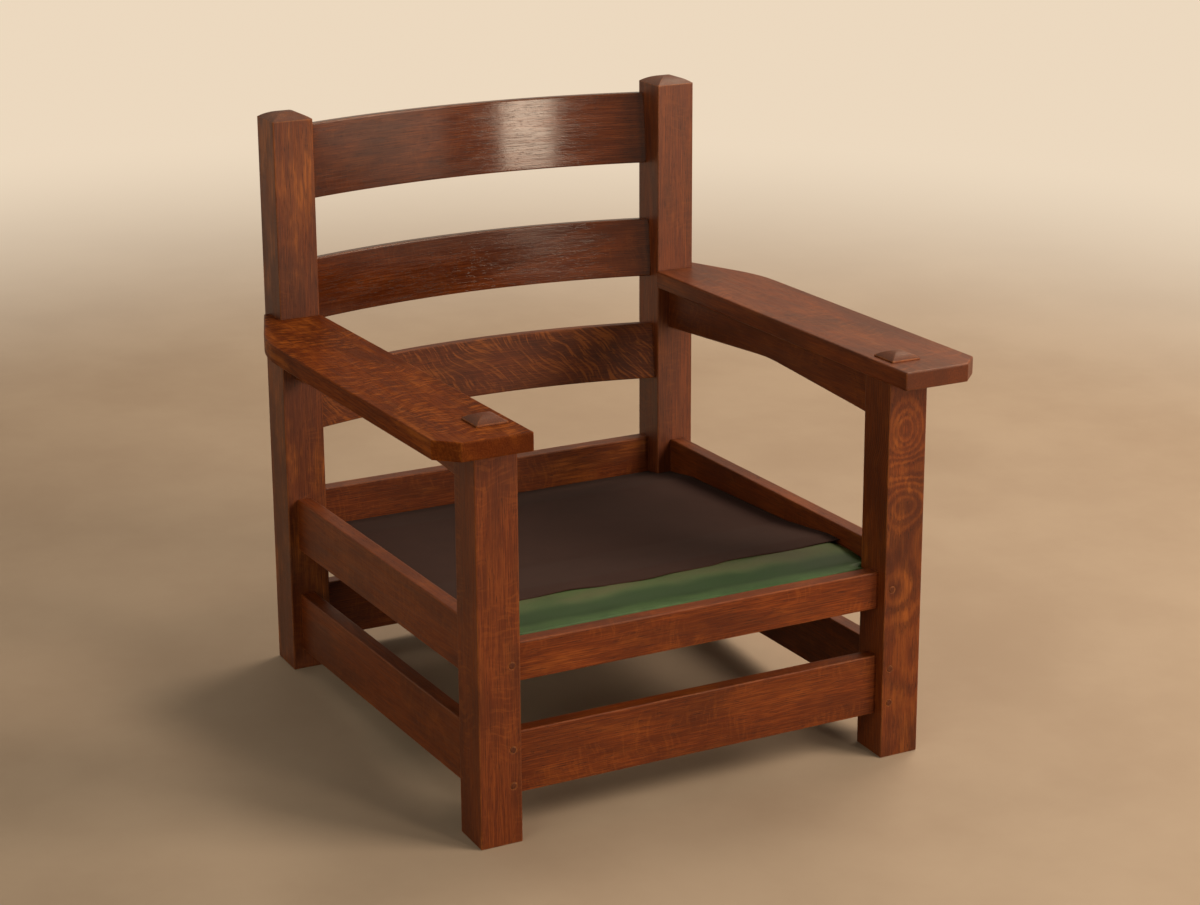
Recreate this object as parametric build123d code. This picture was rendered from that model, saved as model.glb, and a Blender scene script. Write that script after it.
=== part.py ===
from build123d import *
import math
import os

# Mission lounge chair: square posts, tenoned rails, flat arms, bowed slats and a
# sprung seat deck fixed inside the seat rails. Millimetres.
# X runs across the chair, Y from front to back, Z up along the posts. The chair is
# modelled with its posts upright, from the front posts' front face (Y = 0), its
# middle (X = 0) and the front feet (Z = 0). At the end it is leaned back, its feet
# are cut to the floor, and its origin moves to the middle of its footprint.

# Whole chair
width_over_posts = 677.0
depth_over_posts = 690.0
lean_back_deg = 2.9
edge_ease = 1.5
foot_chamfer = 1.0

# Posts
post_side = 60.0
back_post_eave = 849.0
back_post_cap_rise = 10.0

# Arms
arm_top_height = 566.0
arm_thickness = 25.4
arm_side_overhang = 64.0
arm_front_overhang = 41.0
arm_inner_overhang = 3.0
arm_corner_clip = 28.0
arm_taper_length = 140.5
arm_taper_deg = 21.8
arm_taper_bend_radius = 220.0
arm_back_end_inset = 16.0
arm_edge_round = 2.0
arm_tenon_width = 20.0
arm_tenon_thickness = 12.0
arm_tenon_length = 20.0

# The front posts' tenons that come up through the arms
through_tenon_side = 44.0
through_tenon_reveal = 2.0
through_tenon_cap_rise = 8.0

# Peaked boards under the arms
apron_thickness = 20.0
apron_end_height = 66.0
apron_peak_rise = 19.5
apron_peak_radius = 400.0
apron_tenon_thickness = 10.0
apron_tenon_length = 20.0
apron_tenon_shoulder = 12.0

# Rails
rail_thickness = 22.0
seat_rail_bottom = 217.0
seat_rail_height = 77.5
front_seat_rail_height = 53.0
low_rail_bottom = 62.0
low_rail_height = 86.0
front_rail_setback = 16.0
side_rail_setback = 15.0
back_rail_setback = 8.0

# Rail tenons and their pegs
rail_tenon_thickness = 12.0
rail_tenon_length = 38.0
rail_tenon_shoulder = 8.0
wall_between_tenons = 3.0
joint_clearance = 0.2
peg_diameter = 9.5
peg_length = 45.0
peg_proud = 0.4
peg_clearance = 0.1
peg_inset = 12.0
seat_peg_rise = 30.0
low_peg_low_rise = 19.0
low_peg_high_rise = 69.0

# Back slats
slat_thickness = 13.0
slat_bow = 42.0
slat_lean_deg = 5.0
slat_front_inset = 8.0
slat_tenon_thickness = 9.0
slat_tenon_length = 17.0
slat_tenon_shoulder = 6.0
lower_slat_share = 0.465
lower_slat_height = 86.0
middle_slat_share = 0.6525
middle_slat_height = 87.5
top_slat_drop = 16.5
top_slat_height = 105.5

# Bars that carry the deck, screwed to the seat rails' inner faces
spring_rail_width = 22.0
spring_rail_back_height = 18.5
spring_rail_front_height = 34.5
spring_rail_gap = 0.3
screw_length = 32.0
screw_head_radius = 4.2
screw_head_height = 2.6
screw_shank_radius = 2.1
screw_tip_length = 4.0
screw_clearance = 0.1
screw_rise = 10.0
side_screw_end_margin = 45.0
side_screw_count = 5

# Sinuous springs, their clips and the tie wires below them
spring_count = 7
spring_side_margin = 20.5
spring_width = 50.0
spring_run_count = 25
spring_wire_radius = 1.9
spring_bend_slack = 0.1
clip_width = 14.0
clip_plate = 1.2
clip_wire_clearance = 0.15
clip_plate_drop = 13.0
clip_mouth_width = 2.4
clip_top_gap = 0.3
clip_screw_drop = 8.6
clip_screw_head_radius = 3.0
clip_screw_head_height = 1.8
clip_screw_radius = 1.5
clip_screw_length = 14.0
clip_screw_tip_length = 2.5
tie_wire_radius = 1.2
tie_wire_gap = 0.2
tie_wire_socket = 8.0
tie_wire_shares = (0.34, 0.66)

# Layers of the deck
soft_gap = 0.3
insulator_thickness = 1.0
felt_thickness = 11.5
felt_back_taper = 97.0
felt_back_lip = 0.6
cloth_thickness = 1.0
leather_thickness = 1.4
leather_depth = 122.0
cloth_lap = 12.0
edge_roll_width = 20.5
edge_roll_side_height = 6.0
edge_roll_height = 15.2
edge_pad_front = 34.0
edge_pad_rise_run = 46.0
edge_pad_crest_height = 19.5
edge_pad_crest_run = 62.0
edge_pad_back = 252.0
edge_pad_nose = 1.0
felt_shoulder_bend_radius = 120.0
pad_crest_front_bend_radius = 30.0
pad_crest_back_bend_radius = 90.0
pad_tail_bend_radius = 120.0
leather_edge_bend_radius = 4.0
leather_groove_bend_radius = 14.0

overrun = 5.0
tiny = 0.01

# Places worked out from the sizes
half_width = width_over_posts / 2
post_inner = half_width - post_side
post_middle = half_width - post_side / 2
back_post_front = depth_over_posts - post_side
arm_back_end = depth_over_posts - arm_back_end_inset
arm_taper_start = arm_back_end - arm_taper_length
arm_underside = arm_top_height - arm_thickness
slat_lean = math.radians(slat_lean_deg)
lower_slat_bottom = lower_slat_share * back_post_eave
middle_slat_bottom = middle_slat_share * back_post_eave
top_slat_bottom = back_post_eave - top_slat_drop - top_slat_height
front_rail_back = front_rail_setback + rail_thickness
back_rail_front = depth_over_posts - back_rail_setback - rail_thickness
side_rail_inner = half_width - side_rail_setback - rail_thickness
side_bar_inner = side_rail_inner - spring_rail_width
spring_room = 2 * side_bar_inner - spring_width - 2 * spring_side_margin
spring_spacing = spring_room / (spring_count - 1)
peg_radius = peg_diameter / 2

parts = {}


def block(x_span, y_span, z_span):
    """A box between the low and high limit along each axis."""
    sizes = [high - low for low, high in (x_span, y_span, z_span)]
    corner = Pos(x_span[0], y_span[0], z_span[0])
    return corner * Box(*sizes, align=(Align.MIN, Align.MIN, Align.MIN))


def grown(spans, clearance):
    """The same box limits, moved outwards by a clearance on every side."""
    return [(low - clearance, high + clearance) for low, high in spans]


def mirrored(shape):
    """The same piece on the other side of the chair."""
    return mirror(shape, about=Plane.YZ)


def group(shapes):
    """Like pieces as one group of separate solids."""
    return Compound([solid for shape in shapes for solid in shape.solids()])


def eased_block(x_span, y_span, z_span, axis):
    """A board or post whose long edges, along one axis, are eased."""
    board = block(x_span, y_span, z_span)
    return fillet(board.edges().filter_by(axis), edge_ease)


def pillow_cap(side, rise):
    """A square cap whose four faces curve up to the middle."""
    half = side / 2
    arch = make_face([ThreePointArc((-half, 0), (0, rise), (half, 0)), Line((half, 0), (-half, 0))])
    across = extrude(Plane.XZ * arch, half, both=True)
    along = extrude(Plane.YZ * arch, half, both=True)
    return across & along


def profile_face(corners, bends):
    """A face in the YZ plane from its corners, with a radius at some of them."""
    face = Plane.YZ * make_face(Polyline(*corners, close=True))
    for corner, radius in bends:
        place = Vector(0, *corner)
        vertex = min(face.vertices(), key=lambda v: (Vector(*v) - place).length)
        face = fillet([vertex], radius)
    return face


def across_chair(face, half_length):
    """A face in the YZ plane made into a solid across the chair's middle."""
    return extrude(face, half_length, both=True)


# Front posts, with the tenons that come up through the arms

def front_post_blank():
    """The right front post before its mortises are cut."""
    shaft = eased_block(
        (post_inner, half_width),
        (0, post_side),
        (-overrun, arm_underside),
        Axis.Z,
    )
    low = (post_side - through_tenon_side) / 2
    tenon_end = arm_top_height + through_tenon_reveal
    tenon = block(
        (post_inner + low, half_width - low),
        (low, post_side - low),
        (arm_underside, tenon_end),
    )
    cap = Pos(post_middle, post_side / 2, tenon_end) * pillow_cap(through_tenon_side, through_tenon_cap_rise)
    return shaft + tenon + cap


def back_post_blank():
    """The right back post before its mortises are cut."""
    column = eased_block(
        (post_inner, half_width),
        (back_post_front, depth_over_posts),
        (-overrun, back_post_eave + back_post_cap_rise),
        Axis.Z,
    )
    shaft = block(
        (post_inner, half_width),
        (back_post_front, depth_over_posts),
        (-overrun, back_post_eave),
    )
    middle_y = depth_over_posts - post_side / 2
    cap = Pos(post_middle, middle_y, back_post_eave) * pillow_cap(post_side, back_post_cap_rise)
    return column & (shaft + cap)


front_post = front_post_blank()
back_post = back_post_blank()


# Rails that run across the chair, with tenons in both posts

def cross_rail(front_face, bottom, height):
    """A rail across the chair, and the limits of its right tenon."""
    rail = eased_block(
        (-post_inner, post_inner),
        (front_face, front_face + rail_thickness),
        (bottom, bottom + height),
        Axis.X,
    )
    tenon_front = front_face + (rail_thickness - rail_tenon_thickness) / 2
    spans = [
        (post_inner, post_inner + rail_tenon_length),
        (tenon_front, tenon_front + rail_tenon_thickness),
        (bottom + rail_tenon_shoulder, bottom + height - rail_tenon_shoulder),
    ]
    tenon = block(*spans)
    return rail + tenon + mirrored(tenon), spans


def peg():
    """A peg along +Z that stands a little proud of zero."""
    standing = Cylinder(peg_radius, peg_length + peg_proud, align=(Align.CENTER, Align.CENTER, Align.MIN))
    return Pos(0, 0, -peg_proud) * standing


def peg_bore():
    """The hole for a peg, along +Z from zero."""
    depth = peg_length + peg_clearance
    return Cylinder(peg_radius + peg_clearance, depth, align=(Align.CENTER, Align.CENTER, Align.MIN))


front_rails = {
    "front_seat_rail": (seat_rail_bottom, front_seat_rail_height, (seat_peg_rise,)),
    "lower_front_rail": (low_rail_bottom, low_rail_height, (low_peg_low_rise, low_peg_high_rise)),
}
pegs = []
for name, (bottom, height, peg_rises) in front_rails.items():
    rail, spans = cross_rail(front_rail_setback, bottom, height)
    front_post = front_post - block(*grown(spans, joint_clearance))
    for rise in peg_rises:
        right_mouth = Pos(post_inner + peg_inset, 0, bottom + rise) * Rot(X=-90)
        left_mouth = Pos(-post_inner - peg_inset, 0, bottom + rise) * Rot(X=-90)
        front_post = front_post - right_mouth * peg_bore()
        rail = rail - right_mouth * peg_bore() - left_mouth * peg_bore()
        pegs += [right_mouth * peg(), left_mouth * peg()]
    parts[name] = rail
parts["front_joint_pegs"] = group(pegs)

back_rails = {
    "back_seat_rail": (seat_rail_bottom, seat_rail_height),
    "lower_back_rail": (low_rail_bottom, low_rail_height),
}
for name, (bottom, height) in back_rails.items():
    rail, spans = cross_rail(back_rail_front, bottom, height)
    back_post = back_post - block(*grown(spans, joint_clearance))
    parts[name] = rail


# Side rails, whose stub tenons stop short of the cross rails' tenons

side_stub_front = front_rail_setback + (rail_thickness + rail_tenon_thickness) / 2 + wall_between_tenons
side_stub_back = back_rail_front + (rail_thickness - rail_tenon_thickness) / 2 - wall_between_tenons
side_rails = {
    "side_seat_rail": (seat_rail_bottom, seat_rail_height),
    "lower_side_rail": (low_rail_bottom, low_rail_height),
}
for name, (bottom, height) in side_rails.items():
    rail = eased_block(
        (side_rail_inner, side_rail_inner + rail_thickness),
        (post_side, back_post_front),
        (bottom, bottom + height),
        Axis.Y,
    )
    tenon_inner = side_rail_inner + (rail_thickness - rail_tenon_thickness) / 2
    spans = [
        (tenon_inner, tenon_inner + rail_tenon_thickness),
        (side_stub_front, side_stub_back),
        (bottom + rail_tenon_shoulder, bottom + height - rail_tenon_shoulder),
    ]
    front_post = front_post - block(*grown(spans, joint_clearance))
    back_post = back_post - block(*grown(spans, joint_clearance))
    rail = rail + block(*spans)
    parts[name + "_right"] = rail
    parts[name + "_left"] = mirrored(rail)


# Arms

def arm_outline():
    """The right arm seen from above, with its bend rounded."""
    outer = half_width + arm_side_overhang
    inner = post_inner - arm_inner_overhang
    taper = arm_taper_length * math.tan(math.radians(arm_taper_deg))
    outline = make_face(Polyline(
        (inner, -arm_front_overhang),
        (outer - arm_corner_clip, -arm_front_overhang),
        (outer, arm_corner_clip - arm_front_overhang),
        (outer, arm_taper_start),
        (outer - taper, arm_back_end),
        (half_width, arm_back_end),
        (half_width, back_post_front),
        (inner, back_post_front),
        close=True,
    ))
    bend = outline.vertices().sort_by_distance((outer, arm_taper_start))[0]
    return fillet([bend], arm_taper_bend_radius)


def arm_board():
    """The right arm with rounded edges where it is free of the back post."""
    board = Pos(0, 0, arm_underside) * extrude(arm_outline(), arm_thickness)
    board = fillet(
        [edge for edge in board.edges().filter_by(Axis.Z) if edge.center().Y < post_side],
        arm_edge_round,
    )
    level_edges = [edge for edge in board.edges() if abs((edge @ 0).Z - (edge @ 1).Z) < tiny]
    free_edges = [
        edge for edge in level_edges
        if abs(edge.center().Y - back_post_front) > tiny and abs(edge.center().X - half_width) > tiny
    ]
    return fillet(free_edges, arm_edge_round)


arm = arm_board()
tenon_low = (post_side - through_tenon_side) / 2
through_spans = [
    (post_inner + tenon_low, half_width - tenon_low),
    (tenon_low, post_side - tenon_low),
    (arm_underside - overrun, arm_top_height + overrun),
]
arm = arm - block(*grown(through_spans, joint_clearance))
arm_tenon_bottom = arm_underside + (arm_thickness - arm_tenon_thickness) / 2
arm_tenon_spans = [
    (post_middle - arm_tenon_width / 2, post_middle + arm_tenon_width / 2),
    (back_post_front, back_post_front + arm_tenon_length),
    (arm_tenon_bottom, arm_tenon_bottom + arm_tenon_thickness),
]
arm = arm + block(*arm_tenon_spans)
back_post = back_post - block(*grown(arm_tenon_spans, joint_clearance))
parts["arm_right"] = arm
parts["arm_left"] = mirrored(arm)


# Boards under the arms, whose lower edges rise to a rounded peak

apron_foot = arm_underside - apron_end_height
apron_peak = ((post_side + back_post_front) / 2, apron_foot + apron_peak_rise)
apron_corners = [
    (post_side, apron_foot),
    (post_side, arm_underside),
    (back_post_front, arm_underside),
    (back_post_front, apron_foot),
    apron_peak,
]
apron_face = profile_face(apron_corners, [(apron_peak, apron_peak_radius)])
apron = Pos(post_middle, 0, 0) * across_chair(apron_face, apron_thickness / 2)
peaked_edges = [
    edge for edge in apron.edges()
    if abs(edge.tangent_at(0).X) < tiny and edge.bounding_box().max.Z < arm_underside - tiny
]
apron = chamfer(peaked_edges, edge_ease)
apron_tenon_spans = [
    (post_middle - apron_tenon_thickness / 2, post_middle + apron_tenon_thickness / 2),
    (post_side - apron_tenon_length, back_post_front + apron_tenon_length),
    (apron_foot + apron_peak_rise + apron_tenon_shoulder, arm_underside - apron_tenon_shoulder),
]
apron = apron + block(*apron_tenon_spans)
front_post = front_post - block(*grown(apron_tenon_spans, joint_clearance))
back_post = back_post - block(*grown(apron_tenon_spans, joint_clearance))
parts["arm_apron_right"] = apron
parts["arm_apron_left"] = mirrored(apron)


# Back slats: bowed boards that lean back, with tenons flush with their front faces

slat_direction = (0, math.sin(slat_lean), math.cos(slat_lean))


def slat_front_at(height):
    """How far back the slats' front faces meet the posts at a height."""
    rise = height - lower_slat_bottom
    return back_post_front + slat_front_inset + rise * math.tan(slat_lean)


def slat_tenon(bottom, height, clearance):
    """The right tenon of a slat, or its mortise when a clearance is given."""
    low = bottom + slat_tenon_shoulder - clearance
    high = bottom + height - slat_tenon_shoulder + clearance
    front = slat_front_at(low) - clearance
    back = slat_front_at(low) + slat_tenon_thickness + clearance
    root = post_inner - clearance
    tip = post_inner + slat_tenon_length + clearance
    foot = make_face(Polyline((root, front), (tip, front), (tip, back), (root, back), close=True))
    return Pos(0, 0, low) * extrude(foot, (high - low) / math.cos(slat_lean), dir=slat_direction)


def slat(bottom, height):
    """A bowed slat between the back posts, with its tenons."""
    front = slat_front_at(bottom)
    plan = make_face([
        ThreePointArc((-post_inner, front), (0, front + slat_bow), (post_inner, front)),
        Line((post_inner, front), (post_inner, front + slat_thickness)),
        ThreePointArc(
            (post_inner, front + slat_thickness),
            (0, front + slat_bow + slat_thickness),
            (-post_inner, front + slat_thickness),
        ),
        Line((-post_inner, front + slat_thickness), (-post_inner, front)),
    ])
    board = Pos(0, 0, bottom) * extrude(plan, height / math.cos(slat_lean), dir=slat_direction)
    long_edges = [edge for edge in board.edges() if edge.length > post_inner]
    board = fillet(long_edges, edge_ease)
    tenon = slat_tenon(bottom, height, 0)
    return board + tenon + mirrored(tenon)


slats = {
    "back_slat_lower": (lower_slat_bottom, lower_slat_height),
    "back_slat_middle": (middle_slat_bottom, middle_slat_height),
    "back_slat_top": (top_slat_bottom, top_slat_height),
}
for name, (bottom, height) in slats.items():
    parts[name] = slat(bottom, height)
    back_post = back_post - slat_tenon(bottom, height, joint_clearance)


# The plane in which the tops of the four spring rails lie

spring_rail_front_inner = front_rail_back + spring_rail_width
spring_rail_back_inner = back_rail_front - spring_rail_width
deck_slope = (spring_rail_front_height - spring_rail_back_height) / (
    spring_rail_back_inner - spring_rail_front_inner
)
deck_slope_deg = math.degrees(math.atan(deck_slope))


def deck_plane(y):
    """Height of the spring rails' tops at a distance from the front."""
    return seat_rail_bottom + spring_rail_back_height + (spring_rail_back_inner - y) * deck_slope


def sloped_bar(y_low, y_high):
    """The side view of a bar from the seat rails' bottom up to the deck plane."""
    return Plane.YZ * make_face(Polyline(
        (y_low, seat_rail_bottom),
        (y_high, seat_rail_bottom),
        (y_high, deck_plane(y_high)),
        (y_low, deck_plane(y_low)),
        close=True,
    ))


cross_bar_half = post_inner - spring_rail_gap
spring_rail_front = across_chair(sloped_bar(front_rail_back, spring_rail_front_inner), cross_bar_half)
spring_rail_back = across_chair(sloped_bar(spring_rail_back_inner, back_rail_front), cross_bar_half)
spring_rail_side = Pos(side_bar_inner, 0, 0) * extrude(
    sloped_bar(post_side + spring_rail_gap, back_post_front - spring_rail_gap),
    spring_rail_width,
)


# Screws through the spring rails into the seat rails

def turned(outline):
    """A round solid about Z from an outline of radius and height."""
    return revolve(Plane.XZ * make_face(Polyline(*outline, close=True)), Axis.Z)


def rail_screw(clearance):
    """A countersunk rail screw along +Z, or its hole when a clearance is given."""
    length = screw_length + clearance
    return turned([
        (0, 0),
        (screw_head_radius + clearance, 0),
        (screw_shank_radius + clearance, screw_head_height),
        (screw_shank_radius + clearance, length - screw_tip_length),
        (0, length),
    ])


def clip_screw(clearance):
    """A pan-head clip screw along +Z, seated at zero, or its hole when a clearance is given."""
    length = clip_screw_length + clearance
    return turned([
        (0, -clip_screw_head_height),
        (clip_screw_head_radius, -clip_screw_head_height),
        (clip_screw_head_radius, 0),
        (clip_screw_radius + clearance, 0),
        (clip_screw_radius + clearance, length - clip_screw_tip_length),
        (0, length),
    ])


screw_height = seat_rail_bottom + screw_rise
screw_columns = [(step - (spring_count - 2) / 2) * spring_spacing for step in range(spring_count - 1)]
front_screw_places = [Pos(x, spring_rail_front_inner, screw_height) * Rot(X=90) for x in screw_columns]
back_screw_places = [Pos(x, spring_rail_back_inner, screw_height) * Rot(X=-90) for x in screw_columns]
side_screw_step = (back_post_front - post_side - 2 * side_screw_end_margin) / (side_screw_count - 1)
side_screw_depths = [
    post_side + side_screw_end_margin + step * side_screw_step for step in range(side_screw_count)
]
screws = []
for place in front_screw_places:
    hole = place * rail_screw(screw_clearance)
    spring_rail_front = spring_rail_front - hole
    parts["front_seat_rail"] = parts["front_seat_rail"] - hole
    screws.append(place * rail_screw(0))
for place in back_screw_places:
    hole = place * rail_screw(screw_clearance)
    spring_rail_back = spring_rail_back - hole
    parts["back_seat_rail"] = parts["back_seat_rail"] - hole
    screws.append(place * rail_screw(0))
side_rail = parts["side_seat_rail_right"]
for y in side_screw_depths:
    right_place = Pos(side_bar_inner, y, screw_height) * Rot(Y=90)
    left_place = Pos(-side_bar_inner, y, screw_height) * Rot(Y=-90)
    hole = right_place * rail_screw(screw_clearance)
    spring_rail_side = spring_rail_side - hole
    side_rail = side_rail - hole
    screws += [right_place * rail_screw(0), left_place * rail_screw(0)]
parts["side_seat_rail_right"] = side_rail
parts["side_seat_rail_left"] = mirrored(side_rail)
parts["spring_rail_screws"] = group(screws)


# Springs, clips, clip screws and tie wires

clip_inner_radius = spring_wire_radius + clip_wire_clearance
clip_outer_radius = clip_inner_radius + clip_plate
wire_offset = clip_outer_radius
wire_drop = clip_outer_radius + clip_top_gap
wire_front = spring_rail_front_inner + wire_offset
wire_back = spring_rail_back_inner - wire_offset
spring_columns = [(step - (spring_count - 1) / 2) * spring_spacing for step in range(spring_count)]


def wire_height(y):
    """Height of the springs' wire above the feet at a distance from the front."""
    return deck_plane(y) - wire_drop


def spring_path():
    """One spring's wire seen from above, as runs joined by half turns."""
    run_step = (wire_back - wire_front) / (spring_run_count - 1) / math.cos(math.atan(deck_slope))
    half = spring_width / 2
    points = []
    for run in range(spring_run_count):
        side = -half if run % 2 == 0 else half
        points.append((side, run * run_step))
        points.append((-side, run * run_step))
    return FilletPolyline(*points, radius=run_step / 2 - spring_bend_slack)


def least_self_gap(path, wire_radius, reach):
    """The least gap between stretches of a wire that are not next to each other."""
    count = 600
    points = [path @ (step / count) for step in range(count + 1)]
    skip = math.ceil(reach / (path.length / count))
    gaps = [
        (points[first] - points[second]).length
        for first in range(count + 1)
        for second in range(first + skip, count + 1)
    ]
    return min(gaps) - 2 * wire_radius


path = spring_path()
spring_gap = least_self_gap(path, spring_wire_radius, spring_width)
print("least gap of a spring to itself, mm:", round(spring_gap, 2))
flat_spring = sweep(Plane(path @ 0, z_dir=path % 0) * Circle(spring_wire_radius), path)
wire_length_volume = math.pi * spring_wire_radius ** 2 * path.length
print("spring volume as a share of section times length:", round(flat_spring.volume / wire_length_volume, 4))
spring = Pos(0, wire_front, wire_height(wire_front)) * Rot(X=-deck_slope_deg) * flat_spring
parts["seat_springs"] = group([Pos(x, 0, 0) * spring for x in spring_columns])


def clip_and_screw(face_y, wire_y, inward):
    """A clip on a spring rail's inner face, its screw and the screw's hole."""
    height = wire_height(wire_y)
    plate_back = face_y + inward * clip_plate
    plate_span = (min(face_y, plate_back), max(face_y, plate_back))
    half = clip_width / 2
    plate = block((-half, half), plate_span, (height - clip_plate_drop, height))
    centre = Pos(0, wire_y, height) * Rot(Y=90)
    ring = centre * (Cylinder(clip_outer_radius, clip_width) - Cylinder(clip_inner_radius, clip_width))
    mouth_half = clip_mouth_width / 2
    mouth_far = wire_y + inward * (clip_outer_radius + overrun)
    mouth = block(
        (-clip_width, clip_width),
        (min(wire_y, mouth_far), max(wire_y, mouth_far)),
        (height - clip_outer_radius - mouth_half, height - mouth_half),
    )
    wire_room = centre * Cylinder(clip_inner_radius, clip_width)
    clip = plate - wire_room + (ring - mouth)
    place = Pos(0, plate_back, height - clip_screw_drop) * Rot(X=90 * inward)
    hole = place * clip_screw(screw_clearance)
    return clip - hole, place * clip_screw(0), hole


front_clip, front_clip_screw, front_clip_hole = clip_and_screw(spring_rail_front_inner, wire_front, 1)
back_clip, back_clip_screw, back_clip_hole = clip_and_screw(spring_rail_back_inner, wire_back, -1)
clips = []
clip_screws = []
for x in spring_columns:
    column = Pos(x, 0, 0)
    spring_rail_front = spring_rail_front - column * front_clip_hole
    spring_rail_back = spring_rail_back - column * back_clip_hole
    clips += [column * front_clip, column * back_clip]
    clip_screws += [column * front_clip_screw, column * back_clip_screw]
parts["spring_clips"] = group(clips)
parts["spring_clip_screws"] = group(clip_screws)

tie_wires = []
tie_half = side_bar_inner + tie_wire_socket
for share in tie_wire_shares:
    y = wire_front + share * (wire_back - wire_front)
    z = wire_height(y) - spring_wire_radius - tie_wire_gap - tie_wire_radius
    place = Pos(0, y, z) * Rot(Y=90)
    tie_wires.append(place * Cylinder(tie_wire_radius, 2 * tie_half))
    spring_rail_side = spring_rail_side - place * Cylinder(
        tie_wire_radius + joint_clearance,
        2 * (tie_half + joint_clearance),
    )
parts["spring_tie_wires"] = group(tie_wires)
parts["spring_rail_front"] = spring_rail_front
parts["spring_rail_back"] = spring_rail_back
parts["spring_rail_right"] = spring_rail_side
parts["spring_rail_left"] = mirrored(spring_rail_side)


# Layers of the deck, fitted round the posts

deck_half = side_rail_inner - soft_gap
deck_front = front_rail_back + soft_gap
deck_back = back_rail_front - soft_gap
post_room = []
for y_span in ((0, post_side), (back_post_front, depth_over_posts)):
    spans = [
        (post_inner - soft_gap, half_width),
        (y_span[0] - soft_gap, y_span[1] + soft_gap),
        (seat_rail_bottom, arm_underside),
    ]
    post_room += [block(*spans), mirrored(block(*spans))]


def deck_layer(face):
    """A layer of the deck from side rail to side rail, cut out round the posts."""
    layer = across_chair(face, deck_half)
    for room in post_room:
        layer = layer - room
    return layer


def insulator_top(y):
    """Height of the burlap's top at a distance from the front."""
    return deck_plane(y) + insulator_thickness


def felt_top(y):
    """Height of the felt's top where it has its full thickness."""
    return insulator_top(y) + soft_gap + felt_thickness


parts["seat_insulator"] = deck_layer(Plane.YZ * make_face(Polyline(
    (deck_front, deck_plane(deck_front)),
    (deck_back, deck_plane(deck_back)),
    (deck_back, insulator_top(deck_back)),
    (deck_front, insulator_top(deck_front)),
    close=True,
)))

# The roll that stiffens the deck's front edge lies between the front posts
roll_front = deck_front + leather_thickness
roll_back = roll_front + edge_roll_width
roll_foot = insulator_top(roll_front) + soft_gap
roll_middle = (roll_front + roll_back) / 2
roll_face = Plane.YZ * make_face([
    Line((roll_front, roll_foot + edge_roll_side_height), (roll_front, roll_foot)),
    Line((roll_front, roll_foot), (roll_back, roll_foot)),
    Line((roll_back, roll_foot), (roll_back, roll_foot + edge_roll_side_height)),
    ThreePointArc(
        (roll_back, roll_foot + edge_roll_side_height),
        (roll_middle, roll_foot + edge_roll_height),
        (roll_front, roll_foot + edge_roll_side_height),
    ),
])
parts["front_edge_roll"] = across_chair(roll_face, post_inner - soft_gap)

felt_front = roll_back + soft_gap
felt_shoulder = deck_back - felt_back_taper
felt_bend = (felt_shoulder, felt_top(felt_shoulder))
felt_corners = [
    (felt_front, insulator_top(felt_front) + soft_gap),
    (deck_back, insulator_top(deck_back) + soft_gap),
    (deck_back, insulator_top(deck_back) + soft_gap + felt_back_lip),
    felt_bend,
    (felt_front, felt_top(felt_front)),
]
felt_face = profile_face(felt_corners, [(felt_bend, felt_shoulder_bend_radius)])
parts["seat_felt_pad"] = deck_layer(felt_face)

# The front pad swells between the roll and the middle of the deck
pad_front = deck_front + edge_pad_front
pad_crest_front = pad_front + edge_pad_rise_run
pad_crest_back = pad_crest_front + edge_pad_crest_run
pad_tail = deck_front + edge_pad_back
crest = insulator_top(pad_crest_front) + edge_pad_crest_height
pad_back_bend = (pad_crest_back, crest)
pad_front_bend = (pad_crest_front, crest)
pad_corners = [
    (pad_front, felt_top(pad_front) + soft_gap),
    (pad_tail, felt_top(pad_tail) + soft_gap),
    (pad_tail, felt_top(pad_tail) + soft_gap + edge_pad_nose),
    pad_back_bend,
    pad_front_bend,
    (pad_front, felt_top(pad_front) + soft_gap + edge_pad_nose),
]
pad_bends = [(pad_back_bend, pad_crest_back_bend_radius), (pad_front_bend, pad_crest_front_bend_radius)]
parts["front_edge_pad"] = deck_layer(profile_face(pad_corners, pad_bends))


def ribbon(points, radii, thickness):
    """A face in the YZ plane along a rounded path, with one thickness upwards."""
    low = FilletPolyline(*points, radius=radii)
    high = Pos(0, thickness, 0) * low
    ends = [Line(low @ 0, high @ 0), Line(low @ 1, high @ 1)]
    return Plane.YZ * make_face([*low.edges(), *high.edges(), *ends])


leather_back = deck_front + leather_depth
roll_top = roll_foot + edge_roll_height + soft_gap
leather_points = [
    (deck_front, roll_foot + edge_roll_side_height),
    (roll_front + leather_thickness, roll_top),
    (roll_back - leather_thickness, roll_top),
    (pad_front, felt_top(pad_front) + edge_pad_nose + 2 * soft_gap),
    (pad_crest_front, crest + soft_gap),
    (leather_back, crest + soft_gap),
]
leather_radii = [
    leather_edge_bend_radius,
    leather_edge_bend_radius,
    leather_groove_bend_radius,
    pad_crest_front_bend_radius,
]
parts["leather_band"] = deck_layer(ribbon(leather_points, leather_radii, leather_thickness))

lap_height = crest + leather_thickness + 2 * soft_gap
cloth_points = [
    (leather_back - cloth_lap, lap_height),
    (pad_crest_back, lap_height),
    (pad_tail, felt_top(pad_tail) + edge_pad_nose + 2 * soft_gap),
    (felt_shoulder, felt_top(felt_shoulder) + 2 * soft_gap),
    (deck_back, insulator_top(deck_back) + felt_back_lip + 2 * soft_gap),
]
cloth_radii = [pad_crest_back_bend_radius, pad_tail_bend_radius, felt_shoulder_bend_radius]
parts["deck_cloth"] = deck_layer(ribbon(cloth_points, cloth_radii, cloth_thickness))

parts["front_post_right"] = front_post
parts["front_post_left"] = mirrored(front_post)
parts["back_post_right"] = back_post
parts["back_post_left"] = mirrored(back_post)


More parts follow.
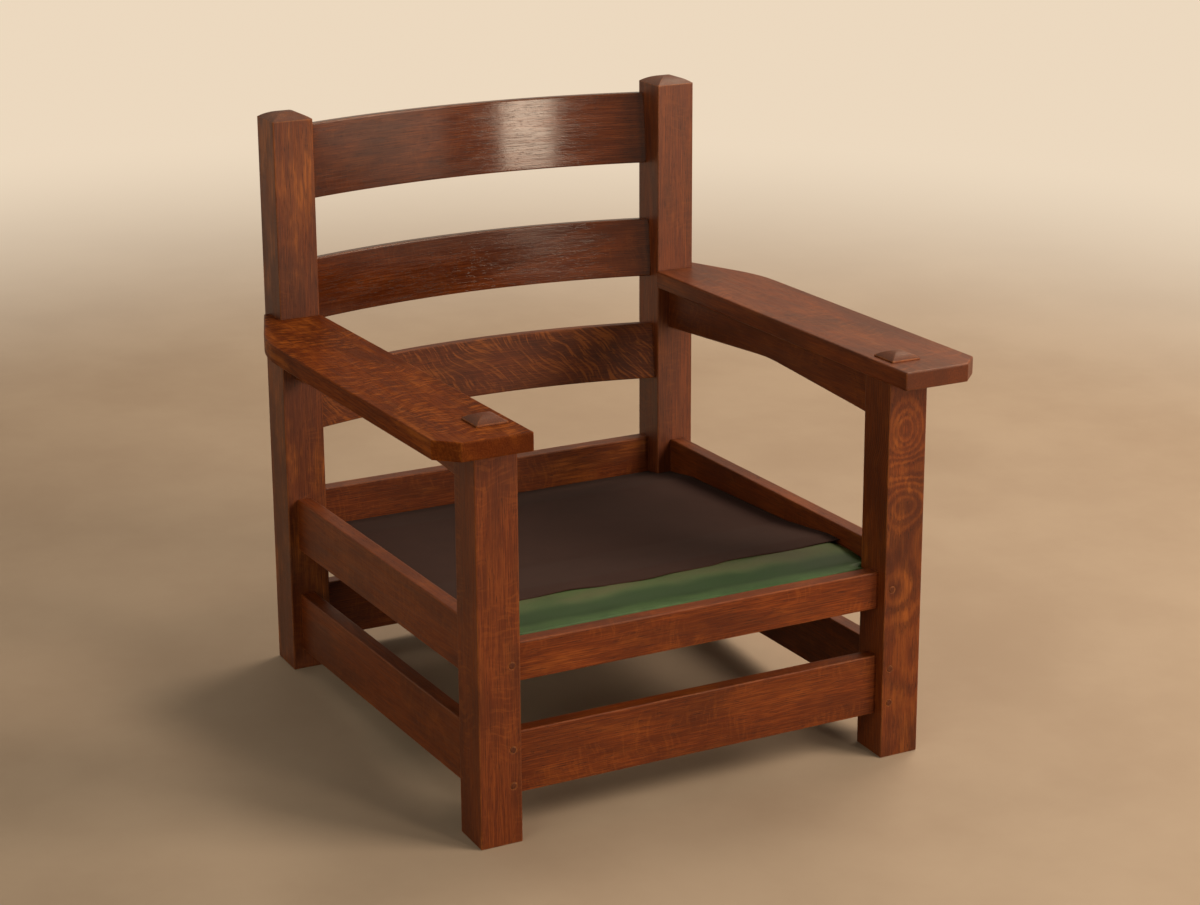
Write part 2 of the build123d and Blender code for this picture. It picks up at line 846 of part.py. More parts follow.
# Lean the chair back, cut its feet to the floor and set the origin

below_floor = block(
    (-width_over_posts, width_over_posts),
    (-depth_over_posts, 2 * depth_over_posts),
    (-depth_over_posts, 0),
)
leaned = {}
for name, shape in parts.items():
    shape = Rot(X=-lean_back_deg) * shape
    if "post" in name:
        shape = shape - below_floor
        sole_edges = shape.edges().filter_by_position(Axis.Z, -tiny, tiny)
        shape = chamfer(sole_edges, foot_chamfer)
    leaned[name] = shape

boxes = [shape.bounding_box() for shape in leaned.values()]
middle = (min(box.min.Y for box in boxes) + max(box.max.Y for box in boxes)) / 2
to_origin = Pos(0, -middle, 0)
print("depth position of the front posts' front edge at the floor, mm:", round(-middle, 3))

os.makedirs("parts", exist_ok=True)
for name, shape in leaned.items():
    export_step(to_origin * shape, "parts/" + name + ".step")
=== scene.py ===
import math

import bmesh
import bpy
import numpy as np
from mathutils import Matrix, Vector
from mathutils.bvhtree import BVHTree


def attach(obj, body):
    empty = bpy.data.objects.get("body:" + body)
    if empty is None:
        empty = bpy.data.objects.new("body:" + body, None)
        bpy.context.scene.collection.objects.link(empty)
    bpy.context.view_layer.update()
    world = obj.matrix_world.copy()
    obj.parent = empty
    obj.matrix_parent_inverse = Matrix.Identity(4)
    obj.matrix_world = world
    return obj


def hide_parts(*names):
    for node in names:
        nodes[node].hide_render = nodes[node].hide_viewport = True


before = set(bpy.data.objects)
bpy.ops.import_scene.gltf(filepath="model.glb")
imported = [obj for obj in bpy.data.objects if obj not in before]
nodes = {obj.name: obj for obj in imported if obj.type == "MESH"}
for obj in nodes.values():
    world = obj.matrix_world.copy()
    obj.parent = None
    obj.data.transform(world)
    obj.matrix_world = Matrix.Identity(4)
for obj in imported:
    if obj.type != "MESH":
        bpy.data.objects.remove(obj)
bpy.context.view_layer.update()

LEAN_BACK = math.radians(2.9)
FRONT_EDGE_Y = -0.379384


def to_row(point):
    """A point of the chair frame, in the row frame."""
    x, y, z = point
    c, s = math.cos(LEAN_BACK), math.sin(LEAN_BACK)
    return Vector((x, y * c + z * s + FRONT_EDGE_Y, z * c - y * s))


def to_chair(point):
    """A point of the row frame, in the chair frame."""
    x, y, z = point
    c, s = math.cos(LEAN_BACK), math.sin(LEAN_BACK)
    y -= FRONT_EDGE_Y
    return Vector((x, y * c - z * s, z * c + y * s))


def direction_in_row(direction):
    """A direction of the chair frame, in the row frame."""
    return to_row(direction) - to_row((0, 0, 0))


# Camera: an 82 mm lens at the photograph's viewpoint. Its place and angles are in the chair frame.

CAMERA_PLACE = (-1.72596, -2.91098, 1.52615)
CAMERA_YAW, CAMERA_PITCH, CAMERA_ROLL = 0.493, -0.298, -0.005
SENSOR_WIDTH = 36
IMAGE_WIDTH = 1200
FOCAL_PIXELS = 2734.5
CLIP_START, CLIP_END = 0.05, 60


def add_camera():
    yaw_cos, yaw_sin = math.cos(CAMERA_YAW), math.sin(CAMERA_YAW)
    pitch_cos, pitch_sin = math.cos(CAMERA_PITCH), math.sin(CAMERA_PITCH)
    roll_cos, roll_sin = math.cos(CAMERA_ROLL), math.sin(CAMERA_ROLL)
    forward = Vector((yaw_sin * pitch_cos, yaw_cos * pitch_cos, pitch_sin))
    level_right = Vector((yaw_cos, -yaw_sin, 0))
    level_up = level_right.cross(forward)
    right = roll_cos * level_right + roll_sin * level_up
    up = roll_cos * level_up - roll_sin * level_right
    turn = Matrix([direction_in_row(v) for v in (right, up, -forward)]).transposed()
    data = bpy.data.cameras.new("camera")
    data.sensor_width = SENSOR_WIDTH
    data.lens = FOCAL_PIXELS / IMAGE_WIDTH * SENSOR_WIDTH
    data.clip_start, data.clip_end = CLIP_START, CLIP_END
    camera = bpy.data.objects.new("camera", data)
    camera.matrix_world = Matrix.Translation(to_row(CAMERA_PLACE)) @ turn.to_4x4()
    bpy.context.scene.collection.objects.link(camera)
    bpy.context.scene.camera = camera


# Material helpers

def srgb(red, green, blue):
    """A colour written as 0 to 255 screen values, as linear numbers."""
    def linear(value):
        value /= 255
        return value / 12.92 if value <= 0.04045 else ((value + 0.055) / 1.055) ** 2.4
    return (linear(red), linear(green), linear(blue), 1.0)


class Graph:
    """Adds nodes to one tree and wires them up."""

    def __init__(self, tree):
        self.tree = tree

    def add(self, kind, inputs=None, **settings):
        node = self.tree.nodes.new(kind)
        for key, value in settings.items():
            setattr(node, key, value)
        for key, value in (inputs or {}).items():
            socket = node.inputs[key]
            if isinstance(value, bpy.types.NodeSocket):
                self.tree.links.new(value, socket)
            else:
                socket.default_value = value
        return node

    def math(self, operation, a, b=0.0):
        return self.add("ShaderNodeMath", {0: a, 1: b}, operation=operation).outputs[0]

    def plus(self, a, b):
        return self.math("ADD", a, b)

    def minus(self, a, b):
        return self.math("SUBTRACT", a, b)

    def times(self, a, b):
        return self.math("MULTIPLY", a, b)

    def vector_math(self, operation, a, b):
        return self.add("ShaderNodeVectorMath", {0: a, 1: b}, operation=operation).outputs

    def moved(self, vector, offset):
        return self.vector_math("ADD", vector, offset)[0]

    def scaled(self, vector, factors):
        return self.vector_math("MULTIPLY", vector, factors)[0]

    def dot(self, a, b):
        return self.vector_math("DOT_PRODUCT", a, b)["Value"]

    def object_point(self):
        return self.add("ShaderNodeTexCoord").outputs["Object"]

    def axes(self, vector):
        return self.add("ShaderNodeSeparateXYZ", {0: vector}).outputs

    def noise(self, vector, scale=1.0, detail=2.0, roughness=0.5, distortion=0.0, output=0):
        inputs = {"Vector": vector, "Scale": scale, "Detail": detail, "Roughness": roughness,
                  "Distortion": distortion}
        return self.add("ShaderNodeTexNoise", inputs).outputs[output]

    def ramp(self, value, low, high, to_low=0.0, to_high=1.0):
        """A smooth step from low to high; where low is the larger one, it falls."""
        inputs = {0: value, 1: low, 2: high, 3: to_low, 4: to_high}
        return self.add("ShaderNodeMapRange", inputs, interpolation_type="SMOOTHSTEP").outputs[0]

    def mix(self, factor, a, b):
        inputs = {0: factor, 6: a, 7: b}
        return self.add("ShaderNodeMix", inputs, data_type="RGBA", blend_type="MIX").outputs[2]

    def coat(self, colour, mask, strength, over):
        """Another colour over a colour where the mask is, at a strength."""
        return self.mix(self.times(mask, strength), colour, over)


def new_material(name):
    material = bpy.data.materials.new(name)
    material.use_nodes = True
    material.node_tree.nodes.clear()
    return material, Graph(material.node_tree)


def close_material(graph, colour, roughness, height, bump, bump_distance, normal=None, **constants):
    """A principled shader with its output; the constants go straight on its sockets."""
    shader = graph.add("ShaderNodeBsdfPrincipled", {"Base Color": colour, "Roughness": roughness})
    relief = {"Strength": bump, "Distance": bump_distance, "Height": height}
    if normal is not None:
        relief["Normal"] = normal
    raised = graph.add("ShaderNodeBump", relief).outputs[0]
    graph.tree.links.new(raised, shader.inputs["Normal"])
    for key, value in constants.items():
        shader.inputs[key.replace("_", " ")].default_value = value
    graph.add("ShaderNodeOutputMaterial", {"Surface": shader.outputs[0]})
    return shader


# Stained quartersawn oak. The group takes a point along the grain, across it and through it,
# in metres from the log's middle, so that one piece's faces show one log cut at different sides.

OAK_CHOICES = ("Fleck", "Figure", "Tone", "Rings", "Pitch", "Slant", "Gloss")
PORE, DARK, BODY, BRIGHT = srgb(34, 14, 7), srgb(60, 24, 8), srgb(101, 43, 12), srgb(126, 61, 20)
# The second of these is rubbed stain on worn edges and a painted edge highlight in one
AMBER, WORN_AND_HIGHLIGHT = srgb(166, 92, 32), srgb(190, 116, 58)
END_DARK, END_PALE = srgb(58, 26, 12), srgb(88, 44, 22)
# How far the rings bend and wobble, and the Rings value above which late wood shows, with its gain
RING_BEND, RING_WOBBLE = 0.028, 0.0022
LATE_FROM, LATE_GAIN = 0.8, 1.3
# Noise above the limit is a pore, and early wood has more of them
PORE_LIMIT, EARLY_PORES, PORE_EDGE = 0.645, 0.06, 0.05
FLECK_WARP = (0.055, 0.03, 0.03)
FLECK_ROOM_GAIN = 0.14
# Shifts in the grain's point that keep noises of one kind apart
VEIN_SHIFT, PATCH_SHIFT, WEAR_AND_HIGHLIGHT_SHIFT = (0.6, 1.2, 2.2), (3.1, 0.7, 0.4), (2.6, 0.2, 1.2)
# How strongly each of the oak's colours covers
FIBRE_SHADE, CLOUD_SHADE, EARLY_SHADE, FLECK_SHADE, END_SHADE = 0.34, 0.5, 0.3, 0.4, 0.5
FLECK_GLOW, PORE_SHADE = 0.62, 0.62
VEIN_GLOW, PLAIN_GLOW = 0.75, 0.25
# What each form adds to the roughness, and its share of the relief
WOBBLE_ROUGH, END_ROUGH, PORE_ROUGH, FIBRE_ROUGH = 0.14, 0.04, 0.05, 0.07
FIBRE_RELIEF, EARLY_RELIEF = 0.3, 0.15


def oak_group():
    tree = bpy.data.node_groups.new("oak_grain", "ShaderNodeTree")
    face = tree.interface
    face.new_socket("Grain", in_out="INPUT", socket_type="NodeSocketVector")
    for name in (*OAK_CHOICES, "End", "WearAndHighlight"):
        face.new_socket(name, in_out="INPUT", socket_type="NodeSocketFloat")
    for name, kind in (("Color", "NodeSocketColor"), ("Roughness", "NodeSocketFloat"),
                       ("Height", "NodeSocketFloat")):
        face.new_socket(name, in_out="OUTPUT", socket_type=kind)
    g = Graph(tree)
    source = g.add("NodeGroupInput")
    point, fleck_amount, figure, tone, rings, pitch, slant, gloss, end, wear_and_highlight = source.outputs[:10]
    _, across, through = g.axes(point)

    def grain_noise(lengthwise, sideways, base=point, **choices):
        """Noise that is drawn out along the grain: its scale along it and at right angles."""
        return g.noise(g.scaled(base, (lengthwise, sideways, sideways)), **choices)

    # Growth rings round the log's middle, bent a little along the grain
    bend = grain_noise(1.6, 9, detail=1.5)
    wobble = grain_noise(9, 60)
    radius = g.math("SQRT", g.plus(g.times(across, across), g.times(through, through)))
    radius = g.plus(radius, g.times(bend, RING_BEND))
    radius = g.plus(radius, g.times(wobble, RING_WOBBLE))
    turn = g.math("FRACT", g.times(radius, pitch))
    early = g.times(g.ramp(turn, 0.0, 0.14), g.ramp(turn, 0.6, 0.3))
    late = g.times(g.ramp(turn, 0.55, 0.75), g.ramp(turn, 1.0, 0.88))
    late = g.times(late, g.times(g.math("MAXIMUM", g.minus(rings, LATE_FROM), 0.0), LATE_GAIN))
    early = g.times(early, rings)

    # Fibres, short dashes, open pores and broad changes of tone
    fibre = grain_noise(10, 640, detail=3, roughness=0.62)
    dash = grain_noise(26, 440, detail=3, roughness=0.6)
    vein = grain_noise(11, 170, base=g.moved(point, VEIN_SHIFT), detail=3, roughness=0.6,
                       distortion=0.5)
    pore_noise = grain_noise(70, 1150, detail=1.5)
    pore_limit = g.minus(PORE_LIMIT, g.times(early, EARLY_PORES))
    pores = g.ramp(g.minus(pore_noise, pore_limit), 0.0, PORE_EDGE)
    cloud = grain_noise(4.2, 14, detail=2.5, roughness=0.55, distortion=0.6)
    patch = grain_noise(9, 22, base=g.moved(point, PATCH_SHIFT), detail=3, roughness=0.6)

    # Ray flecks lie across the grain on the faces cut towards the log's middle
    warp = grain_noise(11, 16, detail=1.0, output="Color")
    bent = g.moved(point, g.scaled(warp, FLECK_WARP))
    side = g.times(g.plus(across, through), slant)
    bent = g.moved(bent, g.add("ShaderNodeCombineXYZ", {0: side}).outputs[0])
    fleck_noise = grain_noise(250, 42, base=bent, detail=2.5, roughness=0.55)
    fleck_room = g.plus(grain_noise(7, 17, detail=1.5), g.times(fleck_amount, FLECK_ROOM_GAIN))
    fleck_room = g.ramp(fleck_room, 0.44, 0.62)
    flecks = g.times(g.times(g.ramp(fleck_noise, 0.5, 0.66), fleck_room), fleck_amount)
    shadows = g.times(g.times(g.ramp(fleck_noise, 0.46, 0.34), fleck_room), fleck_amount)

    colour = g.mix(g.ramp(dash, 0.36, 0.66), BODY, BRIGHT)
    colour = g.coat(colour, g.ramp(fibre, 0.58, 0.38), FIBRE_SHADE, DARK)
    colour = g.coat(colour, g.ramp(cloud, 0.6, 0.36), CLOUD_SHADE, DARK)
    glow = g.plus(g.times(g.ramp(vein, 0.44, 0.62), VEIN_GLOW), PLAIN_GLOW)
    glow = g.times(g.ramp(patch, 0.48, 0.7), glow)
    colour = g.coat(colour, glow, figure, AMBER)
    colour = g.coat(colour, early, EARLY_SHADE, DARK)
    colour = g.mix(late, colour, AMBER)
    colour = g.coat(colour, flecks, FLECK_GLOW, AMBER)
    colour = g.coat(colour, shadows, FLECK_SHADE, DARK)
    colour = g.coat(colour, pores, PORE_SHADE, PORE)
    cut = g.mix(g.ramp(grain_noise(60, 1000, detail=3), 0.35, 0.65), END_DARK, END_PALE)
    colour = g.coat(colour, end, END_SHADE, cut)
    # Worn stain on the edges, lighter in patches, which also serves as a painted highlight along
    # them
    patchy = grain_noise(24, 90, base=g.moved(point, WEAR_AND_HIGHLIGHT_SHIFT))
    colour = g.coat(colour, wear_and_highlight, g.ramp(patchy, 0.4, 0.6, 0.3, 0.85), WORN_AND_HIGHLIGHT)
    shade = g.add("ShaderNodeHueSaturation", {"Color": colour, "Value": tone}).outputs[0]

    roughness = g.plus(gloss, g.times(wobble, WOBBLE_ROUGH))
    roughness = g.plus(roughness, g.times(end, END_ROUGH))
    roughness = g.plus(roughness, g.times(pores, PORE_ROUGH))
    roughness = g.plus(roughness, g.times(g.ramp(fibre, 0.42, 0.62), FIBRE_ROUGH))
    height = g.minus(g.times(fibre, FIBRE_RELIEF), pores)
    height = g.minus(height, g.times(early, EARLY_RELIEF))
    target = g.add("NodeGroupOutput")
    for socket, value in zip(target.inputs, (shade, roughness, height)):
        tree.links.new(value, socket)
    return tree


OAK = oak_group()
OAK_BUMP_DISTANCE = 0.0003
EDGE_RADIUS = 0.0026
EDGE_SAMPLES = 4
# The slats' arc is 42 mm deep over a half width of 278.5 mm, and they lean back 5 degrees
SLAT_BOW = 0.042 / 0.2785 ** 2
SLAT_LEAN = math.tan(math.radians(5))


def upright_point(g):
    """The chair frame's point, but for the front edge's place in depth."""
    turn = {"Vector": g.object_point(), "Rotation": (LEAN_BACK, 0, 0)}
    return g.add("ShaderNodeMapping", turn).outputs[0]


def facing(g, axis):
    """How squarely a face looks along a chair axis."""
    normal = g.add("ShaderNodeTexCoord").outputs["Normal"]
    direction = direction_in_row([float(axis == letter) for letter in "XYZ"])
    return g.math("ABSOLUTE", g.dot(normal, direction))


def oak(name, axis, heart, start, fleck, figure, tone=1.0, rings=0.7, pitch=340.0, slant=0.0,
        gloss=0.36, relief=0.35, shine=0.28, bow=0.0, swirls=(), broad=None):
    """Oak whose grain runs along one chair axis. The heart is where the log's middle passes the
    other two axes, and start is how far along the log the piece was cut. Each swirl pushes the
    rings aside round a place on the piece: (along, across, reach along, reach across, push). Bow
    is how fast a slat's grain curves with it. Broad is the axis along which the faces with the
    flecks look."""
    material, g = new_material("oak_" + name)
    axes = g.axes(upright_point(g))
    order = {"X": (0, 1, 2), "Y": (1, 0, 2), "Z": (2, 0, 1)}[axis]
    along, across, through = (axes[i] for i in order)
    if bow:
        across = g.plus(across, g.times(g.times(along, along), bow))
        across = g.minus(across, g.times(through, SLAT_LEAN))
    depth = g.minus(through, heart[1])
    for place, side, reach, width, push in swirls:
        far = g.times(g.minus(along, place), 1 / reach)
        wide = g.times(g.minus(across, side), 1 / width)
        square = g.plus(g.times(far, far), g.times(wide, wide))
        share = g.math("EXPONENT", g.times(square, -1.0))
        depth = g.plus(depth, g.times(share, push))
    grain = {0: g.plus(along, start), 1: g.minus(across, heart[0]), 2: depth}

    # A rounded normal softens the edges, and where it turns away from the face the stain is worn
    # lighter, partly as a painted highlight along the edges
    rounded = g.add("ShaderNodeBevel", {"Radius": EDGE_RADIUS}, samples=EDGE_SAMPLES).outputs[0]
    flat = g.add("ShaderNodeNewGeometry").outputs["Normal"]
    wood = g.add("ShaderNodeGroup", {
        "Grain": g.add("ShaderNodeCombineXYZ", grain).outputs[0],
        "End": g.ramp(facing(g, axis), 0.5, 0.85),
        "WearAndHighlight": g.ramp(g.dot(rounded, flat), 0.985, 0.87),
    }, node_tree=OAK)
    for key, value in zip(OAK_CHOICES, (fleck, figure, tone, rings, pitch, slant, gloss)):
        wood.inputs[key].default_value = value
    if broad:
        on_broad_faces = g.times(g.ramp(facing(g, broad), 0.6, 0.9), fleck)
        g.tree.links.new(on_broad_faces, wood.inputs["Fleck"])
    close_material(g, *wood.outputs, bump=relief, bump_distance=OAK_BUMP_DISTANCE, normal=rounded,
                   Specular_IOR_Level=shine)
    return material


def dress(name, material):
    """Gives a CAD node a finish without touching its mesh."""
    data = nodes[name].data
    data.materials.clear()
    data.materials.append(material)


add_camera()

SWIRLS = (
    (0.454, 0.306, 0.03, 0.024, 0.016),
    (0.398, 0.31, 0.018, 0.05, -0.011),
    (0.345, 0.312, 0.026, 0.034, 0.011),
    (0.225, 0.3, 0.03, 0.045, 0.0035),
    (0.13, 0.32, 0.06, 0.05, -0.006),
)
# Each piece has its own log: axis, where the log's middle passes (the other two axes), start
WOODS = {
    "front_post_left": dict(axis="Z", heart=(-0.9, -0.16), start=0.3, fleck=0.3, figure=0.2,
                            rings=0.5, tone=0.97),
    "front_post_right": dict(axis="Z", heart=(0.31, 0.13), start=1.9, fleck=0.1, figure=0.7,
                             rings=0.91, pitch=240.0, tone=0.9, swirls=SWIRLS),
    "back_post_left": dict(axis="Z", heart=(-0.8, 0.28), start=3.1, fleck=0.2, figure=1.0,
                           tone=0.84, shine=0.4),
    "back_post_right": dict(axis="Z", heart=(0.9, 0.2), start=4.4, fleck=0.15, figure=0.3,
                            tone=0.95, shine=0.5),
    "arm_left": dict(axis="Y", heart=(-0.9, 0.5), start=5.2, fleck=0.9, figure=0.6,
                     tone=0.98, gloss=0.3, shine=0.03, broad="Z"),
    "arm_right": dict(axis="Y", heart=(1.0, 0.48), start=6.7, fleck=0.4, figure=0.3,
                      gloss=0.3, shine=0.27, broad="Z"),
    "arm_apron_left": dict(axis="Y", heart=(-0.31, 0.1), start=7.3, fleck=0.25, figure=0.35,
                           tone=0.92),
    "arm_apron_right": dict(axis="Y", heart=(0.31, 0.1), start=8.2, fleck=0.25, figure=0.35,
                            tone=0.92),
    "back_slat_top": dict(axis="X", heart=(0.24, 0.3), start=9.4, fleck=0.12, figure=0.12,
                          tone=0.74, gloss=0.035, relief=0.07, shine=0.36, bow=SLAT_BOW),
    "back_slat_middle": dict(axis="X", heart=(0.24, 0.1), start=10.6, fleck=0.12, figure=0.15,
                             tone=0.69, gloss=0.045, relief=0.1, shine=0.36, bow=SLAT_BOW),
    "back_slat_lower": dict(axis="X", heart=(0.2, -0.2), start=11.3, fleck=1.0, figure=0.5,
                            tone=0.8, slant=0.9, bow=SLAT_BOW, broad="Y"),
    "front_seat_rail": dict(axis="X", heart=(-0.36, 0.9), start=12.5, fleck=0.22, figure=0.35,
                            tone=1.12, shine=0.2),
    "back_seat_rail": dict(axis="X", heart=(0.24, 0.9), start=13.7, fleck=0.25, figure=0.6,
                           tone=0.86),
    "side_seat_rail_left": dict(axis="Y", heart=(-0.3, 0.9), start=14.1, fleck=0.2, figure=0.25),
    "side_seat_rail_right": dict(axis="Y", heart=(0.3, 0.9), start=15.8, fleck=0.2, figure=0.25),
    "lower_front_rail": dict(axis="X", heart=(-0.34, 0.8), start=16.6, fleck=0.2, figure=0.25,
                             tone=0.98, shine=0.22),
    "lower_back_rail": dict(axis="X", heart=(0.24, 0.8), start=17.2, fleck=0.25, figure=0.35),
    "lower_side_rail_left": dict(axis="Y", heart=(-0.3, 0.7), start=18.5, fleck=0.2, figure=0.25),
    "lower_side_rail_right": dict(axis="Y", heart=(0.3, 0.7), start=19.4, fleck=0.2, figure=0.25),
    "front_joint_pegs": dict(axis="Y", heart=(0.02, 0.03), start=20.2, fleck=0.0, figure=0.2,
                             tone=0.8),
}
for name, choice in WOODS.items():
    dress(name, oak(name, **choice))


# Bare hardwood of the spring rails, and the metal below the deck

HARDWOOD_PALE, HARDWOOD_TAN = srgb(196, 160, 112), srgb(168, 126, 80)
HARDWOOD_FIBRE = srgb(128, 90, 52)
RUST = srgb(96, 56, 34)


def bare_wood():
    material, g = new_material("bare_hardwood")
    place = g.object_point()
    grain = g.noise(g.scaled(place, (9, 60, 160)), detail=4, roughness=0.6)
    fibre = g.noise(g.scaled(place, (60, 260, 900)))
    colour = g.mix(g.ramp(grain, 0.3, 0.7), HARDWOOD_PALE, HARDWOOD_TAN)
    colour = g.coat(colour, g.ramp(fibre, 0.62, 0.35), 0.35, HARDWOOD_FIBRE)
    roughness = g.plus(0.55, g.times(grain, 0.2))
    close_material(g, colour, roughness, fibre, bump=0.3, bump_distance=0.0003)
    return material


def metal(name, bright, dull, rust_amount):
    material, g = new_material(name)
    place = g.object_point()
    mottle = g.noise(place, scale=180, detail=4, roughness=0.65)
    spots = g.ramp(g.noise(place, scale=45, detail=3), 0.56, 0.7)
    rusty = g.times(spots, rust_amount)
    colour = g.mix(rusty, g.mix(g.ramp(mottle, 0.3, 0.7), bright, dull), RUST)
    roughness = g.plus(0.3, g.times(mottle, 0.25))
    shader = close_material(g, colour, roughness, mottle, bump=0.2, bump_distance=0.0002)
    g.tree.links.new(g.minus(1.0, rusty), shader.inputs["Metallic"])
    return material


hardwood = bare_wood()
for name in ("spring_rail_front", "spring_rail_back", "spring_rail_left", "spring_rail_right"):
    dress(name, hardwood)
spring_steel = metal("spring_steel", srgb(112, 110, 106), srgb(74, 72, 70), 0.5)
plated_steel = metal("plated_steel", srgb(178, 172, 158), srgb(140, 134, 122), 0.15)
for name in ("seat_springs", "spring_tie_wires"):
    dress(name, spring_steel)
for name in ("spring_clips", "spring_clip_screws", "spring_rail_screws"):
    dress(name, plated_steel)


# Materials of the deck's soft layers

JITTER_SCALE, JITTER = 60.0, (0.0012, 0.0012, 0.0)
FELT_FLECK = srgb(88, 96, 118)
LEATHER_DEEP, LEATHER_PALE = srgb(50, 82, 46), srgb(66, 99, 58)
# The first two colours here are painted: shade for the groove behind the front edge and an olive
# sheen for the rise at the band's back
LEATHER_HOLLOW_SHADE, LEATHER_CREST_SHEEN, LEATHER_CREASE = srgb(24, 55, 26), srgb(88, 92, 64), srgb(26, 48, 26)
PEBBLES_PER_METRE = 850.0
# How far the painted shade and sheen bands waver in depth
SHADE_AND_SHEEN_WAVER = 0.05


def fabric(name, thread_a, thread_b, threads_per_metre, roughness, relief, sheen):
    """A plain weave, its threads along and across the chair."""
    material, g = new_material(name)
    place = g.object_point()
    jitter = g.scaled(g.noise(place, scale=JITTER_SCALE, output="Color"), JITTER)
    x, y, _ = g.axes(g.moved(place, jitter))
    pitch = math.pi * threads_per_metre
    weave = g.times(g.math("SINE", g.times(x, pitch)), g.math("SINE", g.times(y, pitch)))
    rise = g.plus(g.times(weave, 0.5), 0.5)
    mottle = g.noise(place, scale=26, detail=4, roughness=0.6)
    slub = g.noise(g.scaled(place, (40, 900, 40)))
    colour = g.mix(rise, thread_a, thread_b)
    colour = g.coat(colour, g.ramp(mottle, 0.35, 0.7), 0.35, thread_b)
    colour = g.coat(colour, g.ramp(slub, 0.58, 0.75), 0.3, thread_b)
    height = g.plus(rise, g.times(slub, 0.5))
    close_material(g, colour, roughness, height, bump=relief, bump_distance=0.0004,
                   Sheen_Weight=sheen, Sheen_Roughness=0.5, Specular_IOR_Level=0.08)
    return material


def felt(name, pale, deep):
    material, g = new_material(name)
    place = g.object_point()
    fuzz = g.noise(place, scale=420, detail=5, roughness=0.75)
    lump = g.noise(place, scale=40, detail=3, roughness=0.6, distortion=1.2)
    fleck = g.ramp(g.noise(g.scaled(place, (90, 700, 300))), 0.64, 0.72)
    colour = g.mix(g.ramp(lump, 0.3, 0.7), pale, deep)
    colour = g.coat(colour, fleck, 0.6, FELT_FLECK)
    height = g.plus(fuzz, g.times(lump, 2.0))
    close_material(g, colour, 0.95, height, bump=0.6, bump_distance=0.0008, Sheen_Weight=0.2)
    return material


def leather():
    """Green upholstery leather: fine pebble, painted olive sheen on a rise, painted shade in a deep
    green groove and a lighter front. The groove and the rise lie at a depth from the chair's front
    edge."""
    material, g = new_material("green_leather")
    place = g.object_point()
    cells = {"Vector": place, "Scale": PEBBLES_PER_METRE, "Randomness": 1.0}
    pebble = g.add("ShaderNodeTexVoronoi", cells, feature="DISTANCE_TO_EDGE").outputs[0]
    crease = g.noise(place, scale=300, detail=4, roughness=0.7)
    mottle = g.noise(place, scale=26, detail=4, roughness=0.6, distortion=0.5)
    cloud = g.noise(g.scaled(place, (9, 20, 20)), detail=3)
    # Painted shade in the groove and painted olive sheen on the rise behind it, banded by depth
    # from the front edge
    depth = g.minus(g.axes(upright_point(g))[1], FRONT_EDGE_Y)
    waver = g.noise(g.scaled(place, (7, 3, 3)))
    depth = g.plus(depth, g.times(g.minus(waver, 0.5), SHADE_AND_SHEEN_WAVER))
    hollow_shade = g.times(g.ramp(depth, 0.058, 0.08), g.ramp(depth, 0.122, 0.098))
    crest_sheen = g.ramp(depth, 0.1, 0.128)
    colour = g.mix(g.ramp(mottle, 0.3, 0.7), LEATHER_DEEP, LEATHER_PALE)
    colour = g.coat(colour, hollow_shade, 0.8, LEATHER_HOLLOW_SHADE)
    colour = g.coat(colour, crest_sheen, g.ramp(cloud, 0.3, 0.62, 0.25, 0.85), LEATHER_CREST_SHEEN)
    colour = g.coat(colour, g.ramp(pebble, 0.12, 0.0), 0.3, LEATHER_CREASE)
    roughness = g.plus(0.4, g.times(mottle, 0.18))
    height = g.plus(g.ramp(pebble, 0.0, 0.35), g.times(crease, 0.6))
    close_material(g, colour, roughness, height, bump=0.35, bump_distance=0.0003,
                   Specular_IOR_Level=0.2)
    return material


# Shapes of the deck's soft layers, in the chair frame. The deck is as wide as the seat frame
# between the front and the back posts, and narrower beside them.

DECK_HALF = 0.3012
DECK_FRONT = 0.0385
DECK_BACK = 0.6597
POST_HALF = 0.2782
FRONT_POST_Y = 0.0603
BACK_POST_Y = 0.6297
# Lines of the grids: beside the posts on each side, across a fine and a coarse grid, and in depth
SIDE_LINES = 5
FINE_LINES, COARSE_LINES = 112, 60
CLOTH_ROWS, CLOTH_TAIL_ROWS = 118, 7
LEATHER_HEAD_ROWS, LEATHER_BODY_ROWS = 14, 46
BURLAP_END_ROWS = 5
CLOTH_THICKNESS = 0.001
LEATHER_THICKNESS = 0.0014
BURLAP_THICKNESS = 0.0009
# How far inside a layer's ends its top is still looked up
EDGE_MARGIN = 0.0004
BURLAP_BACK_GAP = 0.0002
# Ripples of the cloth near its front edge: height, angle per metre, angle at the middle, reach
RIPPLE, RIPPLE_TURN, RIPPLE_START, RIPPLE_REACH = 0.0006, 46, 1.3, 0.06
LEATHER_BACK = 0.16
# The reach over which leather bridges a crease, its share of the way to the front, and the
# samples on each side with how fast they weigh less
BRIDGE_REACH, BRIDGE_SHARE, BRIDGE_SAMPLES, BRIDGE_FALL = 0.014, 0.9, 6, 2
# How far the front edge goes down at its ends and over what width, and the pads' share of it
END_DROP, END_DROP_WIDTH, PAD_DROP_SHARE = 0.006, 0.022, 1.25
PAD_SMOOTHING, PAD_ROUNDS = 0.5, 2
# Where the cloth's turned front edge lies on the leather, from the left to the right
CLOTH_EDGE = ((-0.3012, 0.1455), (-0.25, 0.146), (-0.191, 0.1475), (-0.131, 0.150),
              (-0.074, 0.1425), (-0.015, 0.137), (0.035, 0.1425), (0.083, 0.143),
              (0.120, 0.149), (0.160, 0.1475), (0.215, 0.1455), (0.3012, 0.148))


def smooth_step(value, low, high):
    share = min(max((value - low) / (high - low), 0.0), 1.0)
    return share * share * (3 - 2 * share)


